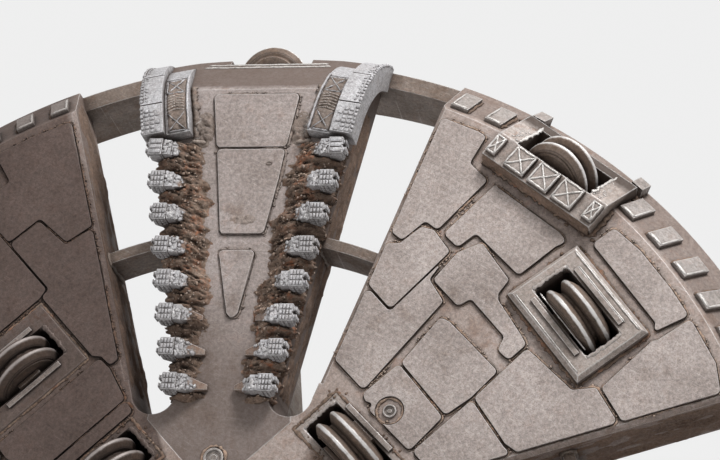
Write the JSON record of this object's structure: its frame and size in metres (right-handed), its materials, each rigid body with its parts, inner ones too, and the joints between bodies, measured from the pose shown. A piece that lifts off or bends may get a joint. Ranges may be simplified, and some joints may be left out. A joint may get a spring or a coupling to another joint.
{
  "type": "tunnel boring machine cutterhead",
  "caption": "Round cutterhead for boring tunnels: scraper spokes and cutter panels on a rim, with free-turning disc cutters and a rear drive flange.",
  "frame": {"origin": "centre of the drive flange's rear face", "axes": "+Y along the head's axis, from the cutting face back into the machine; +Z along the upright spoke; +X to the right, seen from in front of the face"},
  "size_m": [6.77, 1.476, 6.77],
  "materials": {
    "structure": "rough welded plate dusted with dry ground",
    "spoke_steel": "worn plate with rust along the welds",
    "panel_steel": "worn plate dusted with dry ground",
    "rim": "worn rolled plate with bright edges",
    "housing": "worn cast block with bright edges",
    "wear_block": "scuffed steel with welded beads",
    "hardfacing": "gridded hard facing, scoured pale",
    "disc_ring": "scuffed tool steel with a bright edge",
    "axle": "dark oily steel",
    "nozzle": "machined steel",
    "flange": "machined face"
  },
  "bodies": {
    "root": {"centre_plate": "structure", "spoke_1": "spoke_steel", "spoke_2": "spoke_steel", "spoke_3": "spoke_steel", "spoke_4": "spoke_steel", "panel_1": "panel_steel", "panel_2": "panel_steel", "panel_3": "panel_steel", "panel_4": "panel_steel", "rim_ring": "rim", "crossbars": "rim", "scrapers_1": "hardfacing", "scrapers_2": "hardfacing", "scrapers_3": "hardfacing", "scrapers_4": "hardfacing", "gauge_buckets": "hardfacing", "spoke_plates": "spoke_steel", "panel_plates": "panel_steel", "cutter_housings": "housing", "gauge_housings": "housing", "wear_blocks": "wear_block", "rim_pads": "wear_block", "cutter_axles": "axle", "foam_nozzles": "nozzle", "support_arms": "structure", "drive_flange": "flange", "supply_pipe": "structure", "mixing_bars": "structure"},
    "centre_cutter_1": {"centre_cutter_1": "disc_ring"},
    "centre_cutter_2": {"centre_cutter_2": "disc_ring"},
    "centre_cutter_3": {"centre_cutter_3": "disc_ring"},
    "centre_cutter_4": {"centre_cutter_4": "disc_ring"},
    "inner_cutter_1": {"inner_cutter_1": "disc_ring"},
    "middle_cutter_1": {"middle_cutter_1": "disc_ring"},
    "inner_cutter_2": {"inner_cutter_2": "disc_ring"},
    "middle_cutter_2": {"middle_cutter_2": "disc_ring"},
    "inner_cutter_3": {"inner_cutter_3": "disc_ring"},
    "middle_cutter_3": {"middle_cutter_3": "disc_ring"},
    "inner_cutter_4": {"inner_cutter_4": "disc_ring"},
    "middle_cutter_4": {"middle_cutter_4": "disc_ring"},
    "gauge_cutter_1": {"gauge_cutter_1": "disc_ring"},
    "gauge_cutter_2": {"gauge_cutter_2": "disc_ring"},
    "gauge_cutter_3": {"gauge_cutter_3": "disc_ring"},
    "gauge_cutter_4": {"gauge_cutter_4": "disc_ring"},
    "rim_cutter_1": {"rim_cutter_1": "disc_ring"},
    "rim_cutter_2": {"rim_cutter_2": "disc_ring"},
    "rim_cutter_3": {"rim_cutter_3": "disc_ring"},
    "rim_cutter_4": {"rim_cutter_4": "disc_ring"}
  },
  "joints": [
    {"name": "centre_cutter_1_spin", "type": "hinge", "parent": "root", "child": "centre_cutter_1", "pos_m": [0.357, -1.26, 0], "axis": [1, 0, 0], "continuous": true},
    {"name": "centre_cutter_2_spin", "type": "hinge", "parent": "root", "child": "centre_cutter_2", "pos_m": [0.119, -1.26, 0], "axis": [1, 0, 0], "continuous": true},
    {"name": "centre_cutter_3_spin", "type": "hinge", "parent": "root", "child": "centre_cutter_3", "pos_m": [-0.119, -1.26, 0], "axis": [-1, 0, 0], "continuous": true},
    {"name": "centre_cutter_4_spin", "type": "hinge", "parent": "root", "child": "centre_cutter_4", "pos_m": [-0.357, -1.26, 0], "axis": [-1, 0, 0], "continuous": true},
    {"name": "inner_cutter_1_spin", "type": "hinge", "parent": "root", "child": "inner_cutter_1", "pos_m": [0.74676, -1.26, 0.77329], "axis": [0.6947, 0, 0.7193], "continuous": true},
    {"name": "middle_cutter_1_spin", "type": "hinge", "parent": "root", "child": "middle_cutter_1", "pos_m": [1.94356, -1.26, 1.54045], "axis": [0.7837, 0, 0.6211], "continuous": true},
    {"name": "inner_cutter_2_spin", "type": "hinge", "parent": "root", "child": "inner_cutter_2", "pos_m": [-0.5975, -1.26, 0.5975], "axis": [-0.7071, 0, 0.7071], "continuous": true},
    {"name": "middle_cutter_2_spin", "type": "hinge", "parent": "root", "child": "middle_cutter_2", "pos_m": [-1.19148, -1.26, 1.19148], "axis": [-0.7071, 0, 0.7071], "continuous": true},
    {"name": "inner_cutter_3_spin", "type": "hinge", "parent": "root", "child": "inner_cutter_3", "pos_m": [-0.74676, -1.26, -0.77329], "axis": [-0.6947, 0, -0.7193], "continuous": true},
    {"name": "middle_cutter_3_spin", "type": "hinge", "parent": "root", "child": "middle_cutter_3", "pos_m": [-1.94356, -1.26, -1.54045], "axis": [-0.7837, 0, -0.6211], "continuous": true},
    {"name": "inner_cutter_4_spin", "type": "hinge", "parent": "root", "child": "inner_cutter_4", "pos_m": [0.5975, -1.26, -0.5975], "axis": [0.7071, 0, -0.7071], "continuous": true},
    {"name": "middle_cutter_4_spin", "type": "hinge", "parent": "root", "child": "middle_cutter_4", "pos_m": [1.19148, -1.26, -1.19148], "axis": [0.7071, 0, -0.7071], "continuous": true},
    {"name": "gauge_cutter_1_spin", "type": "hinge", "parent": "root", "child": "gauge_cutter_1", "pos_m": [1.80306, -1.25, 2.4102], "axis": [0.4966, 0.5592, 0.6638], "continuous": true},
    {"name": "gauge_cutter_2_spin", "type": "hinge", "parent": "root", "child": "gauge_cutter_2", "pos_m": [-1.97474, -1.25, 2.27168], "axis": [-0.5439, 0.5592, 0.6257], "continuous": true},
    {"name": "gauge_cutter_3_spin", "type": "hinge", "parent": "root", "child": "gauge_cutter_3", "pos_m": [-1.80306, -1.25, -2.4102], "axis": [-0.4966, 0.5592, -0.6638], "continuous": true},
    {"name": "gauge_cutter_4_spin", "type": "hinge", "parent": "root", "child": "gauge_cutter_4", "pos_m": [1.97474, -1.25, -2.27168], "axis": [0.5439, 0.5592, -0.6257], "continuous": true},
    {"name": "rim_cutter_1_spin", "type": "hinge", "parent": "root", "child": "rim_cutter_1", "pos_m": [0, -0.97, 3.18], "axis": [0, 0.9397, 0.342], "continuous": true},
    {"name": "rim_cutter_2_spin", "type": "hinge", "parent": "root", "child": "rim_cutter_2", "pos_m": [-3.18, -0.97, 0], "axis": [-0.342, 0.9397, 0], "continuous": true},
    {"name": "rim_cutter_3_spin", "type": "hinge", "parent": "root", "child": "rim_cutter_3", "pos_m": [0, -0.97, -3.18], "axis": [0, 0.9397, -0.342], "continuous": true},
    {"name": "rim_cutter_4_spin", "type": "hinge", "parent": "root", "child": "rim_cutter_4", "pos_m": [3.18, -0.97, 0], "axis": [0.342, 0.9397, 0], "continuous": true}
  ]
}
